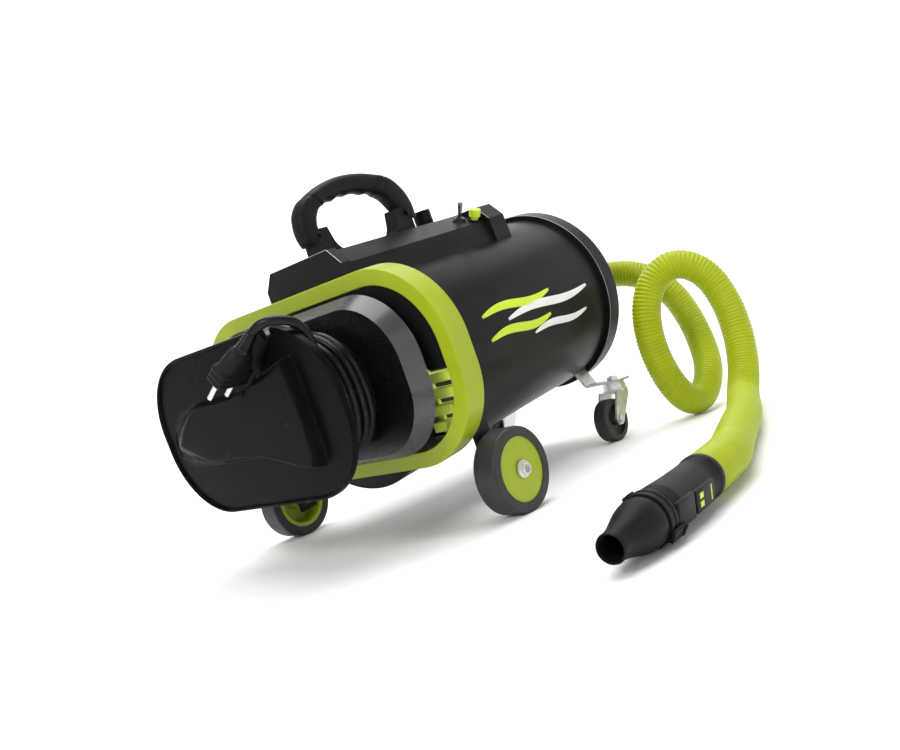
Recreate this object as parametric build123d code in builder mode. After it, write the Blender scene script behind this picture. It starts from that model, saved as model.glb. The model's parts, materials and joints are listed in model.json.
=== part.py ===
from build123d import *
import math
import os

# Barrel dryer on two wheels and two casters, with a hose, a handset and a wound mains cord.
# Millimetres. Floor frame: +Z up, +X to the dryer's right, the cord end faces -Y, and the
# origin is on the floor midway between the front wheels. The barrel and all that is fixed to
# it lean back in a body frame of their own: y runs along the barrel from the collar's front
# face, z is the height square to the barrel, and the rear is lifted by REAR_LIFT.

REAR_LIFT = 6.0
WHEEL_R = 39.0
AXLE_Y = 38.0

BARREL_R = 106.0
BARREL_WALL = 1.6
BARREL_Z = 150.0
BARREL_END = 366.0
CAP_R = 112.0
CAP_LENGTH = 24.0
HOSE_Z = 153.5

COLLAR_HALF_W = 178.0
COLLAR_HALF_H = 94.0
COLLAR_CORNER = 82.0
COLLAR_WALL = 15.3
COLLAR_DEPTH = 24.0
COLLAR_Z = 158.0

FLANGE_BACK_Y = -10.0
FLANGE_DEPTH = 18.0
DRUM_Z = 157.0
DRUM_HALF_W = 98.0
DRUM_HALF_H = 50.0
DRUM_CORNER = 45.0
DRUM_FRONT_Y = -92.0
CORD_D = 8.5
COVER_HALF_W = 135.5
COVER_HALF_H = 77.6
COVER_CORNER = 69.6
COVER_Z = 155.5
COVER_FRONT_Y = -98.0

CONSOLE_TOP_Z = 281.0
SLOPE_START_X = 20.0
SLOPE_END_X = 52.0
SLOPE_END_Z = 264.0
CONSOLE_SIDE_X = 58.0
PANEL_FRONT_Y = 25.0
PANEL_REAR_Y = 262.0
PANEL_END_Y = 290.0
SHEET = 2.0

HANDLE_Y = 123.0
HANDLE_HALF_LENGTH = 84.0
HANDLE_TOP_Z = 355.0
HANDLE_FOOT_Z = 293.0
EAR_HALF_W = 9.0

WHEEL_INNER_X = 148.5
WHEEL_OUTER_X = 173.0
DISC_R = 29.3
AXLE_R = 4.0
HUB_CLEARANCE = 0.06

CASTER_X = 87.0
SWIVEL_Y = 313.0
CASTER_TRAIL = 26.0
CASTER_R = 25.0
CASTER_WHEEL_W = 17.0
PLATE_Z = 66.0

HOSE_D = 35.0
GRIP_REAR = (357.0, -29.0, 21.0)
NOZZLE_TIP = (366.0, -176.0, 18.5)

SIDES = (("left", -1), ("right", 1))

os.makedirs("parts", exist_ok=True)


def save(piece, name):
    """Label a finished piece and write it to its own file."""
    piece.label = name
    export_step(piece, f"parts/{name}.step")


# ---- body frame ----

LEAN_COS = math.cos(math.radians(REAR_LIFT))
LEAN_SIN = math.sin(math.radians(REAR_LIFT))


def along(dx, dy, dz):
    """Floor-frame direction of a direction given in the body frame."""
    return Vector(dx, dy * LEAN_COS - dz * LEAN_SIN, dy * LEAN_SIN + dz * LEAN_COS)


def at(x, y, z):
    """Floor-frame point of a point given in the body frame: both share the wheel axle."""
    return Vector(0, 0, WHEEL_R) + along(x, y - AXLE_Y, z - WHEEL_R)


BACK = along(0, 1, 0)
FRONT = along(0, -1, 0)
UP = along(0, 0, 1)
RIGHT = Vector(1, 0, 0)


def across(y, z=0.0, x=0.0):
    """Plane square to the barrel, seen from the front: its own axes are right and up."""
    return Plane(origin=at(x, y, z), x_dir=RIGHT, z_dir=FRONT)


def beside(x, y=0.0, z=0.0):
    """Plane square to the axle, seen from the right: its own axes are back and up."""
    return Plane(origin=at(x, y, z), x_dir=BACK, z_dir=RIGHT)


def above(z, x=0.0, y=0.0):
    """Plane square to the body's upright direction: its own axes are right and back."""
    return Plane(origin=at(x, y, z), x_dir=RIGHT, z_dir=UP)


# ---- barrel ----

def make_barrel():
    """Rolled steel tube, the front bulkhead with its air intake, and the rear cap."""
    bulkhead_thickness = 3.0
    tube_front = COLLAR_DEPTH + bulkhead_thickness
    cap_back = BARREL_END + CAP_LENGTH
    cap_plate = 3.0
    tube_back = cap_back - cap_plate

    with BuildPart() as tube:
        with BuildSketch(across(tube_back, BARREL_Z)):
            Circle(BARREL_R)
            Circle(BARREL_R - BARREL_WALL, mode=Mode.SUBTRACT)
        extrude(amount=tube_back - tube_front)
    save(tube.part, "barrel_tube")

    with BuildPart() as bulkhead:
        with BuildSketch(across(tube_front, BARREL_Z)):
            Circle(BARREL_R)
            Circle(48, mode=Mode.SUBTRACT)
        extrude(amount=bulkhead_thickness)
    save(bulkhead.part, "front_bulkhead")

    with BuildPart() as cap:
        with BuildSketch(across(cap_back, BARREL_Z)):
            Circle(CAP_R)
        extrude(amount=CAP_LENGTH)
        fillet(cap.faces().sort_by(Axis(at(0, 0, 0), BACK))[-1].edges(), 4)
        with BuildSketch(across(tube_back, BARREL_Z)):
            Circle(BARREL_R)
        extrude(amount=CAP_LENGTH, mode=Mode.SUBTRACT)
        with BuildSketch(across(cap_back + 1, HOSE_Z)):
            Circle(21)
        extrude(amount=cap_plate + 2, mode=Mode.SUBTRACT)
    save(cap.part, "rear_cap")

    with BuildPart() as screws:
        with BuildSketch(across(cap_back + 2, BARREL_Z)):
            with PolarLocations(CAP_R - 13, 6, start_angle=30):
                Circle(4)
        extrude(amount=2)
        with BuildSketch(across(cap_back, BARREL_Z)):
            with PolarLocations(CAP_R - 13, 6, start_angle=30):
                RegularPolygon(1.6, 6)
        extrude(amount=-2, mode=Mode.SUBTRACT)
    save(screws.part, "rear_cap_screws")

    with BuildPart() as spigot:
        with BuildSketch(across(cap_back + 16, HOSE_Z)):
            Circle(20.8)
            Circle(17.8, mode=Mode.SUBTRACT)
        extrude(amount=30)
        with BuildSketch(across(cap_back + 3, HOSE_Z)):
            Circle(28)
            Circle(20, mode=Mode.SUBTRACT)
        extrude(amount=3)
    save(spigot.part, "hose_spigot")

    with BuildPart() as cuff:
        with BuildSketch(across(cap_back + 28, HOSE_Z)):
            Circle(24)
        extrude(amount=25)
        fillet(cuff.edges().filter_by(GeomType.CIRCLE), 2)
        with BuildSketch(across(cap_back + 16, HOSE_Z)):
            Circle(20.8)
        extrude(amount=14, mode=Mode.SUBTRACT)
        with BuildSketch(across(cap_back + 29, HOSE_Z)):
            Circle(14)
        extrude(amount=20, mode=Mode.SUBTRACT)
    save(cuff.part, "hose_cuff")


# ---- collar and air intake ----

def rounded_ring(outer_w, outer_h, corner, wall):
    """Sketch a rounded rectangular ring, sizes given as half width and half height."""
    RectangleRounded(2 * outer_w, 2 * outer_h, corner)
    RectangleRounded(2 * (outer_w - wall), 2 * (outer_h - wall), corner - wall, mode=Mode.SUBTRACT)


def make_collar():
    """Broad rounded collar, the intake bars inside it, the shroud and the filter."""
    with BuildPart() as collar:
        with BuildSketch(across(COLLAR_DEPTH, COLLAR_Z)):
            rounded_ring(COLLAR_HALF_W, COLLAR_HALF_H, COLLAR_CORNER, COLLAR_WALL)
        extrude(amount=COLLAR_DEPTH)
        fillet(collar.faces().sort_by(Axis(at(0, 0, 0), BACK))[0].edges(), 1.2)
    save(collar.part, "collar")

    shroud_half_w = 116.0
    shroud_half_h = 58.0
    bar_rise = 14.7
    bar_middle_z = 118.7
    bar_height = 8.4
    window_near_x = shroud_half_w + 1.0
    with BuildPart() as shroud:
        with BuildSketch(across(COLLAR_DEPTH, DRUM_Z)):
            rounded_ring(shroud_half_w, shroud_half_h, 50, 3)
        extrude(amount=COLLAR_DEPTH - FLANGE_BACK_Y + 12)
        with BuildSketch(beside(0, 8, DRUM_Z)):
            with GridLocations(0, 16, 1, 4):
                Rectangle(20, 9)
        extrude(amount=150, both=True, mode=Mode.SUBTRACT)
        # Plate that closes the gap round the shroud, with a window on each side.
        with BuildSketch(across(5, COLLAR_Z)):
            rounded_ring(
                COLLAR_HALF_W - COLLAR_WALL - 0.3, COLLAR_HALF_H - COLLAR_WALL - 0.3,
                COLLAR_CORNER - COLLAR_WALL - 0.3, 24,
            )
        extrude(amount=2)
        with BuildSketch(across(8, bar_middle_z)):
            for _, sign in SIDES:
                with Locations((sign * (window_near_x + 25), 0)):
                    Rectangle(50, 4 * bar_rise + 2)
        extrude(amount=8, mode=Mode.SUBTRACT)
    save(shroud.part, "intake_shroud")

    inner_wall_x = COLLAR_HALF_W - COLLAR_WALL
    with BuildPart() as grilles:
        for _, sign in SIDES:
            rail_x = sign * (shroud_half_w + 3.5)
            with BuildSketch(across(22, bar_middle_z)):
                with Locations((rail_x, 0)):
                    Rectangle(6, 4 * bar_rise)
            extrude(amount=4)
            for step in range(4):
                bar_z = bar_middle_z + (step - 1.5) * bar_rise
                corner_drop = COLLAR_Z - COLLAR_HALF_H + COLLAR_CORNER - bar_z
                reach = COLLAR_CORNER - COLLAR_WALL
                bar_end = inner_wall_x
                if corner_drop > 0:
                    bar_end -= reach - math.sqrt(reach * reach - (corner_drop + 6) ** 2) + 1
                bar_length = bar_end - shroud_half_w - 1.0
                with BuildSketch(across(22, bar_z)):
                    with Locations((sign * (shroud_half_w + 0.5 + bar_length / 2), 0)):
                        Rectangle(bar_length, bar_height)
                extrude(amount=14)
    save(grilles.part, "intake_grilles")

    with BuildPart() as filter_pad:
        with BuildSketch(across(20, DRUM_Z)):
            RectangleRounded(2 * shroud_half_w - 8, 2 * shroud_half_h - 8, 46)
        extrude(amount=14)
    save(filter_pad.part, "intake_filter")


# ---- cord store: flange, drum, cover ----

def make_cord_store():
    """Tapered flange, the drum that the cord is wound on, and the sculpted front cover."""
    with BuildPart() as flange:
        with BuildSketch(across(FLANGE_BACK_Y, DRUM_Z)):
            RectangleRounded(300, 154, 66)
        extrude(amount=FLANGE_DEPTH, taper=26)
        with BuildSketch(across(FLANGE_BACK_Y, DRUM_Z)):
            RectangleRounded(232, 116, 50)
        extrude(amount=12, mode=Mode.SUBTRACT)
    save(flange.part, "winding_flange")

    drum_back = FLANGE_BACK_Y - FLANGE_DEPTH
    with BuildPart() as drum:
        with BuildSketch(across(drum_back, DRUM_Z)):
            RectangleRounded(2 * DRUM_HALF_W, 2 * DRUM_HALF_H, DRUM_CORNER)
        extrude(amount=drum_back - DRUM_FRONT_Y)
        with BuildSketch(across(drum_back, DRUM_Z)):
            RectangleRounded(2 * DRUM_HALF_W - 6, 2 * DRUM_HALF_H - 6, DRUM_CORNER - 3)
        extrude(amount=drum_back - DRUM_FRONT_Y - 3, mode=Mode.SUBTRACT)
    save(drum.part, "cord_drum")

    with BuildPart() as bolts:
        with BuildSketch(across(drum_back - 0.5, DRUM_Z)):
            with GridLocations(120, 40, 2, 2):
                Circle(6)
        extrude(amount=drum_back - 0.5 - DRUM_FRONT_Y - 3.5)
    save(bolts.part, "drum_posts")

    plate_front = COVER_FRONT_Y + 3
    with BuildPart() as cover:
        with BuildSketch(across(DRUM_FRONT_Y, COVER_Z)):
            RectangleRounded(2 * COVER_HALF_W, 2 * COVER_HALF_H, COVER_CORNER)
        extrude(amount=DRUM_FRONT_Y - COVER_FRONT_Y)
        with BuildSketch(across(plate_front, COVER_Z)):
            RectangleRounded(2 * COVER_HALF_W - 6, 2 * COVER_HALF_H - 6, COVER_CORNER - 3)
        extrude(amount=6, mode=Mode.SUBTRACT)
        # Raised boss: a round lobe on the left that flares into two arms on the right.
        lobe_r = 31.0
        lobe_end_x = -127.0
        arm_x = 84.0
        arm_rise = 50.0
        with BuildSketch(across(plate_front + 0.5, DRUM_Z)) as boss:
            with BuildLine():
                Polyline(
                    (arm_x, arm_rise), (0, lobe_r), (lobe_end_x, lobe_r), (lobe_end_x, -lobe_r),
                    (0, -lobe_r), (arm_x, -arm_rise), (arm_x, arm_rise),
                )
            make_face()
            fillet(boss.vertices().group_by(Axis.X)[0], lobe_r - 1)
            fillet(boss.vertices().group_by(Axis.X)[-1], 5)
        extrude(amount=12, taper=20)
        # Notch where the cord crosses the rim.
        with BuildSketch(across(DRUM_FRONT_Y + 1, 230.5)):
            with Locations((73.5, 0)):
                Rectangle(13, 15)
        extrude(amount=12, mode=Mode.SUBTRACT)
    save(cover.part, "front_cover")


# ---- console ----

SLOPE_DROP = (CONSOLE_TOP_Z - SLOPE_END_Z) / (SLOPE_END_X - SLOPE_START_X)


def slope_plane(x, y):
    """Plane on the console's right slope, square to it, for the switch and the button."""
    z = CONSOLE_TOP_Z - (x - SLOPE_START_X) * SLOPE_DROP
    return Plane(origin=at(x, y, z), x_dir=BACK, z_dir=along(SLOPE_DROP, 0, 1))


def console_profile(inset):
    """Corners of the console's section, drawn in by inset; its foot runs into the barrel."""
    top = CONSOLE_TOP_Z - inset
    start = SLOPE_START_X - inset * 0.3
    end = SLOPE_END_X - inset
    end_z = SLOPE_END_Z - inset * 0.5
    side = CONSOLE_SIDE_X - inset
    return (
        (start, top), (end, end_z), (side, 232), (-side, 232),
        (-end, end_z), (-start, top), (start, top),
    )


def make_console():
    """Folded sheet housing on the barrel with an end panel front and rear."""
    front = PANEL_FRONT_Y + 12
    with BuildPart() as box:
        with BuildSketch(across(PANEL_REAR_Y)):
            with BuildLine():
                Polyline(*console_profile(0))
            make_face()
        extrude(amount=PANEL_REAR_Y - front)
        with BuildSketch(across(PANEL_REAR_Y - SHEET)):
            with BuildLine():
                Polyline(*console_profile(SHEET))
            make_face()
        extrude(amount=PANEL_REAR_Y - front - 2 * SHEET, mode=Mode.SUBTRACT)
        with BuildSketch(across(PANEL_REAR_Y - SHEET)):
            with Locations((0, 243)):
                Rectangle(100, 20)
        extrude(amount=PANEL_REAR_Y - front - 2 * SHEET, mode=Mode.SUBTRACT)
        with BuildSketch(across(PANEL_END_Y, BARREL_Z)):
            Circle(BARREL_R)
        extrude(amount=PANEL_END_Y, mode=Mode.SUBTRACT)
        with BuildSketch(above(CONSOLE_TOP_Z + 1)):
            with Locations((-10, 235)):
                Circle(3.6)
        extrude(amount=-6, mode=Mode.SUBTRACT)
        for hole_plane, hole_r in ((slope_plane(36, 239), 4.05), (slope_plane(46, 252), 5.4)):
            with BuildSketch(hole_plane.offset(2)):
                Circle(hole_r)
            extrude(amount=-7, mode=Mode.SUBTRACT)
    save(box.part, "console_box")

    with BuildPart() as panels:
        for near, far in ((PANEL_FRONT_Y, PANEL_FRONT_Y + 12), (PANEL_REAR_Y, PANEL_END_Y)):
            with BuildSketch(across(far)):
                with BuildLine():
                    Polyline(
                        (45, 281.5), (59, 265), (61, 230), (-61, 230),
                        (-59, 265), (-45, 281.5), (45, 281.5),
                    )
                make_face()
            extrude(amount=far - near)
        with BuildSketch(across(PANEL_END_Y + 1, BARREL_Z)):
            Circle(BARREL_R)
        extrude(amount=PANEL_END_Y, mode=Mode.SUBTRACT)
    save(panels.part, "console_end_panels")

    with BuildPart() as ears:
        for sign in (-1, 1):
            with BuildSketch(beside(-EAR_HALF_W, HANDLE_Y, CONSOLE_TOP_Z)):
                with BuildLine():
                    Polyline(
                        (sign * 36, 0), (sign * 74, 0), (sign * 73, 26),
                        (sign * 52, 26), (sign * 49, 14),
                    )
                    Spline(
                        (sign * 49, 14), (sign * 45, 5), (sign * 36, 0),
                        tangents=[(-sign * 0.15, -1), (-sign, 0)],
                    )
                make_face()
            extrude(amount=2 * EAR_HALF_W)
    save(ears.part, "handle_ears")


def make_handle():
    """Moulded bow handle whose hollow feet sit over the two ears, with its cross screws."""
    half_w = 12.5
    rise = HANDLE_TOP_Z - HANDLE_FOOT_Z
    foot_near = 60.0
    foot_far = 79.0
    with BuildPart() as grip:
        with BuildSketch(beside(-half_w, HANDLE_Y, HANDLE_FOOT_Z)):
            with BuildLine():
                FilletPolyline(
                    (-foot_far, 0), (-HANDLE_HALF_LENGTH - 2, 30), (-44, rise), (44, rise),
                    (HANDLE_HALF_LENGTH + 2, 30), (foot_far, 0), radius=[26, 60, 60, 26],
                )
                Line((foot_far, 0), (foot_near, 0))
                FilletPolyline(
                    (foot_near, 0), (57, 22), (34, 39), (-34, 39), (-57, 22), (-foot_near, 0),
                    radius=[14, 30, 30, 14],
                )
                Line((-foot_near, 0), (-foot_far, 0))
            make_face()
        extrude(amount=2 * half_w)
        for sign in (-1, 1):
            with BuildSketch(above(HANDLE_FOOT_Z - 1)):
                with Locations((0, HANDLE_Y + sign * 61.5)):
                    Rectangle(2 * EAR_HALF_W + 0.4, 26)
            extrude(amount=16.2, mode=Mode.SUBTRACT)
            with BuildSketch(beside(0, HANDLE_Y + sign * 66, 300)):
                Circle(2.6)
            extrude(amount=20, both=True, mode=Mode.SUBTRACT)
    save(grip.part, "handle_grip")

    with BuildPart() as screws:
        for sign in (-1, 1):
            for side in (-1, 1):
                with BuildSketch(beside(side * (EAR_HALF_W + 0.1), HANDLE_Y + sign * 66, 300)):
                    Circle(2.5)
                extrude(amount=side * 4.5)
    save(screws.part, "handle_screws")


def make_controls():
    """Speed knob on its potentiometer, toggle switch and push button."""
    knob_plane = above(CONSOLE_TOP_Z, -10, 235)
    with BuildPart() as pot:
        with BuildSketch(knob_plane.offset(-SHEET - 0.1)):
            RectangleRounded(17, 17, 2)
        extrude(amount=-9)
        with BuildSketch(knob_plane.offset(-SHEET - 0.1)):
            Circle(3.5)
        extrude(amount=SHEET + 0.1)
        with BuildSketch(knob_plane):
            Circle(2.5)
        extrude(amount=12)
    save(pot.part, "speed_control")

    with BuildPart() as knob:
        with BuildSketch(knob_plane.offset(0.5)):
            Circle(10.5)
        extrude(amount=17.5)
        fillet(knob.faces().sort_by(Axis(at(0, 0, 0), UP))[-1].edges(), 1)
        with BuildSketch(knob_plane.offset(19)):
            with Locations((0, 6)):
                Rectangle(1.4, 8)
        extrude(amount=-1.8, mode=Mode.SUBTRACT)
        with BuildSketch(knob_plane):
            Circle(2.56)
        extrude(amount=13, mode=Mode.SUBTRACT)
    save(knob.part, "speed_knob")

    switch = slope_plane(36, 239)
    with BuildPart() as body:
        with BuildSketch(switch.offset(-SHEET - 0.1)):
            RectangleRounded(12, 15, 1)
        extrude(amount=-9)
        with BuildSketch(switch.offset(-SHEET - 0.1)):
            Circle(4)
        extrude(amount=SHEET + 5)
        with BuildSketch(switch.offset(6)):
            Circle(2.9)
        extrude(amount=-6, mode=Mode.SUBTRACT)
    save(body.part, "toggle_body")

    with BuildPart() as nut:
        with BuildSketch(switch):
            Circle(8)
        extrude(amount=1)
        with BuildSketch(switch.offset(1)):
            RegularPolygon(6.8, 6)
        extrude(amount=2.6)
        with BuildSketch(switch.offset(-1)):
            Circle(4.05)
        extrude(amount=6, mode=Mode.SUBTRACT)
    save(nut.part, "toggle_nut")

    with BuildPart() as lever:
        with BuildSketch(switch.offset(0.6)):
            Circle(1.5)
        extrude(amount=21, taper=-2.2)
        fillet(lever.faces().sort_by(Axis(at(0, 0, 0), along(SLOPE_DROP, 0, 1)))[-1].edges(), 1.2)
    save(lever.part, "toggle_lever")

    press = slope_plane(46, 252)
    with BuildPart() as button_body:
        with BuildSketch(press.offset(-12)):
            Circle(5.3)
        extrude(amount=12)
        with BuildSketch(press):
            Circle(7)
        extrude(amount=2)
        with BuildSketch(press.offset(3)):
            Circle(4.1)
        extrude(amount=-11, mode=Mode.SUBTRACT)
    save(button_body.part, "button_body")

    with BuildPart() as button:
        with BuildSketch(press.offset(5)):
            Circle(6.5)
        extrude(amount=9)
        fillet(button.edges().filter_by(GeomType.CIRCLE), 1)
        with BuildSketch(press.offset(-4)):
            Circle(4.04)
        extrude(amount=9.5)
    save(button.part, "push_button")


# ---- blower inside the barrel ----

def make_blower():
    """Motor between two mounting plates, and the fan in its duct to the hose outlet."""
    bore = BARREL_R - BARREL_WALL - 0.2
    mounts = ((84, 89.8), (160.2, 166))
    shaft_r = 6.0

    def rings(name, spans, outer, inner):
        """One node of equal rings round the barrel axis, one for each span along it."""
        with BuildPart() as piece:
            for near, far in spans:
                with BuildSketch(across(far, BARREL_Z)):
                    Circle(outer)
                    Circle(inner, mode=Mode.SUBTRACT)
                extrude(amount=far - near)
        save(piece.part, name)

    rings("motor_stator", ((90, 160),), 52, 33)
    rings("motor_mounts", mounts, bore, 20)
    rings("motor_bearings", mounts, 19.9, shaft_r + 0.05)

    with BuildPart() as rotor:
        with BuildSketch(across(205, BARREL_Z)):
            Circle(shaft_r)
        extrude(amount=205 - 78)
        with BuildSketch(across(155, BARREL_Z)):
            Circle(32)
        extrude(amount=60)
    save(rotor.part, "motor_rotor")

    with BuildPart() as fan:
        with BuildSketch(across(178, BARREL_Z)):
            Circle(80)
            Circle(shaft_r, mode=Mode.SUBTRACT)
        extrude(amount=3)
        with BuildSketch(across(200, BARREL_Z)):
            with PolarLocations(50, 9):
                Rectangle(48, 2.4, rotation=35)
        extrude(amount=22)
    save(fan.part, "fan_impeller")

    duct_front = 168.0
    cone_start = 232.0
    cone_end = BARREL_END + 9
    with BuildPart() as duct:
        for outer, outlet, mode in ((92, 19.5, Mode.ADD), (90, 17.5, Mode.SUBTRACT)):
            with BuildSketch(across(cone_start, BARREL_Z)):
                Circle(outer)
            with BuildSketch(across(cone_end, BARREL_Z)):
                Circle(outlet)
            loft(mode=mode)
            with BuildSketch(across(cone_start, BARREL_Z)):
                Circle(outer)
            extrude(amount=cone_start - duct_front, mode=mode)
    save(duct.part, "fan_duct")


# ---- front wheels ----

def make_front_wheels():
    """Stub axle in a bracket on each side of the barrel, with a tyred disc wheel on it."""
    bracket_x = 139.0
    axle_end_x = WHEEL_OUTER_X + 4
    with BuildPart() as axles:
        for _, sign in SIDES:
            with BuildSketch(beside(sign * (bracket_x - 3), AXLE_Y, WHEEL_R)):
                Circle(AXLE_R)
            extrude(amount=sign * (axle_end_x - bracket_x + 3))
    save(axles.part, "stub_axles")

    with BuildPart() as brackets:
        for _, sign in SIDES:
            with BuildSketch(beside(sign * bracket_x, AXLE_Y, 58)):
                Rectangle(22, 60)
            extrude(amount=sign * 3)
            with BuildSketch(beside(sign * 80, AXLE_Y, 86.5)):
                Rectangle(22, 3)
            extrude(amount=sign * (bracket_x + 3 - 80))
            with BuildSketch(beside(sign * (bracket_x - 1), AXLE_Y, WHEEL_R)):
                Circle(AXLE_R)
            extrude(amount=sign * 6, mode=Mode.SUBTRACT)
        with BuildSketch(across(COLLAR_DEPTH + 60, BARREL_Z)):
            Circle(BARREL_R + 0.1)
        extrude(amount=60, mode=Mode.SUBTRACT)
    save(brackets.part, "axle_brackets")

    with BuildPart() as nuts:
        for _, sign in SIDES:
            with BuildSketch(beside(sign * (WHEEL_OUTER_X + 0.3), AXLE_Y, WHEEL_R)):
                Circle(8)
                Circle(AXLE_R, mode=Mode.SUBTRACT)
            extrude(amount=sign * 1.2)
            with BuildSketch(beside(sign * (WHEEL_OUTER_X + 1.5), AXLE_Y, WHEEL_R)):
                RegularPolygon(6, 6)
                Circle(AXLE_R, mode=Mode.SUBTRACT)
            extrude(amount=sign * 4)
    save(nuts.part, "axle_nuts")

    with BuildPart() as spacers:
        for _, sign in SIDES:
            with BuildSketch(beside(sign * (bracket_x + 3.2), AXLE_Y, WHEEL_R)):
                Circle(6.5)
                Circle(AXLE_R, mode=Mode.SUBTRACT)
            extrude(amount=sign * (WHEEL_INNER_X - bracket_x - 3.5))
    save(spacers.part, "axle_spacers")

    for side, sign in SIDES:
        inner = sign * WHEEL_INNER_X
        width = WHEEL_OUTER_X - WHEEL_INNER_X
        with BuildPart() as tyre:
            with BuildSketch(beside(inner, AXLE_Y, WHEEL_R)):
                Circle(WHEEL_R)
            extrude(amount=sign * width)
            fillet(tyre.edges().filter_by(GeomType.CIRCLE), 2)
            with BuildSketch(beside(inner, AXLE_Y, WHEEL_R)):
                Circle(DISC_R)
            extrude(amount=sign * width, mode=Mode.SUBTRACT)
        save(tyre.part, f"front_tyre_{side}")

        with BuildPart() as disc:
            with BuildSketch(beside(inner, AXLE_Y, WHEEL_R)):
                Circle(DISC_R)
            extrude(amount=sign * (width - 1))
            with BuildSketch(beside(inner, AXLE_Y, WHEEL_R)):
                Circle(DISC_R - 4)
                Circle(9, mode=Mode.SUBTRACT)
            extrude(amount=sign * (width - 7), mode=Mode.SUBTRACT)
            with BuildSketch(beside(inner, AXLE_Y, WHEEL_R)):
                Circle(AXLE_R + HUB_CLEARANCE)
            extrude(amount=sign * width, mode=Mode.SUBTRACT)
        save(disc.part, f"front_wheel_disc_{side}")


# ---- rear casters ----

def make_casters():
    """Bent straps under the barrel, each with a kingpin, a swivel fork and its wheel."""
    wheel_y = SWIVEL_Y - CASTER_TRAIL
    strap_half = 12.0
    with BuildPart() as straps:
        for _, sign in SIDES:
            with BuildSketch(Plane.XZ.offset(-SWIVEL_Y - strap_half)):
                with BuildLine():
                    Polyline(
                        (sign * 42, 98), (sign * 42, 88), (sign * 54, PLATE_Z),
                        (sign * 103, PLATE_Z), (sign * 103, PLATE_Z + 3),
                        (sign * 56, PLATE_Z + 3), (sign * 45, 89), (sign * 45, 98),
                        (sign * 42, 98),
                    )
                make_face()
            extrude(amount=2 * strap_half)
        with BuildSketch(across(BARREL_END + 40, BARREL_Z)):
            Circle(BARREL_R + 0.1)
        extrude(amount=140, mode=Mode.SUBTRACT)
        with BuildSketch(across(BARREL_END + 1, BARREL_Z)):
            Circle(BARREL_R)
        extrude(amount=80, mode=Mode.SUBTRACT)
        with BuildSketch(Plane.XY.offset(PLATE_Z - 1)):
            with Locations((CASTER_X, SWIVEL_Y), (-CASTER_X, SWIVEL_Y)):
                Circle(4)
        extrude(amount=5, mode=Mode.SUBTRACT)
    save(straps.part, "caster_straps")

    with BuildPart() as kingpins:
        for height, rise, radius, sides in (
            (52, PLATE_Z - 44, 4, 0), (PLATE_Z - 2.6, 2.6, 13, 0),
            (PLATE_Z + 3, 4, 7, 6), (52, 1.4, 6.5, 0),
        ):
            with BuildSketch(Plane.XY.offset(height)):
                with Locations((CASTER_X, SWIVEL_Y), (-CASTER_X, SWIVEL_Y)):
                    if sides:
                        RegularPolygon(radius, sides)
                    else:
                        Circle(radius)
            extrude(amount=rise)
    save(kingpins.part, "caster_kingpins")

    for side, sign in SIDES:
        x = sign * CASTER_X
        with BuildPart() as fork:
            with BuildSketch(Plane.XY.offset(54)):
                with Locations((x, SWIVEL_Y)):
                    Circle(15)
                with Locations((x, SWIVEL_Y - 9)):
                    Rectangle(26, 18)
            extrude(amount=3)
            with BuildSketch(Plane.XY.offset(57)):
                with Locations((x, SWIVEL_Y)):
                    Circle(14)
            extrude(amount=PLATE_Z - 2.8 - 57)
            with BuildSketch(Plane.XY.offset(53)):
                with Locations((x, SWIVEL_Y)):
                    Circle(4.06)
            extrude(amount=20, mode=Mode.SUBTRACT)
            for cheek in (-1, 1):
                cheek_x = x + cheek * 13
                with BuildSketch(Plane(origin=(cheek_x, 0, 0), x_dir=(0, 1, 0), z_dir=(1, 0, 0))):
                    with BuildLine():
                        Polyline(
                            (SWIVEL_Y + 7, 57), (SWIVEL_Y - 18, 57), (wheel_y - 7, 27),
                            (wheel_y - 3, 18), (wheel_y + 5, 18), (SWIVEL_Y + 7, 50),
                            (SWIVEL_Y + 7, 57),
                        )
                    make_face()
                extrude(amount=-cheek * 2.4)
            with BuildSketch(Plane(origin=(x, wheel_y, CASTER_R), x_dir=(0, 1, 0), z_dir=(1, 0, 0))):
                Circle(3)
            extrude(amount=20, both=True, mode=Mode.SUBTRACT)
        save(fork.part, f"caster_fork_{side}")

        axle_plane = Plane(origin=(x, wheel_y, CASTER_R), x_dir=(0, 1, 0), z_dir=(1, 0, 0))
        with BuildPart() as pin:
            with BuildSketch(axle_plane):
                Circle(3)
            extrude(amount=17, both=True)
            for cheek in (-1, 1):
                with BuildSketch(axle_plane.offset(cheek * 13.1)):
                    RegularPolygon(5.5, 6)
                extrude(amount=cheek * 3)
        save(pin.part, f"caster_axle_{side}")

        with BuildPart() as wheel:
            with BuildSketch(axle_plane):
                Circle(CASTER_R)
            extrude(amount=CASTER_WHEEL_W / 2, both=True)
            fillet(wheel.edges().filter_by(GeomType.CIRCLE), 2.5)
            for face in (-1, 1):
                with BuildSketch(axle_plane.offset(face * CASTER_WHEEL_W / 2)):
                    Circle(18)
                    Circle(7, mode=Mode.SUBTRACT)
                extrude(amount=-face * 4, mode=Mode.SUBTRACT)
            with BuildSketch(axle_plane):
                Circle(3 + HUB_CLEARANCE)
            extrude(amount=20, both=True, mode=Mode.SUBTRACT)
        save(wheel.part, f"caster_wheel_{side}")


# ---- cords ----

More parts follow.
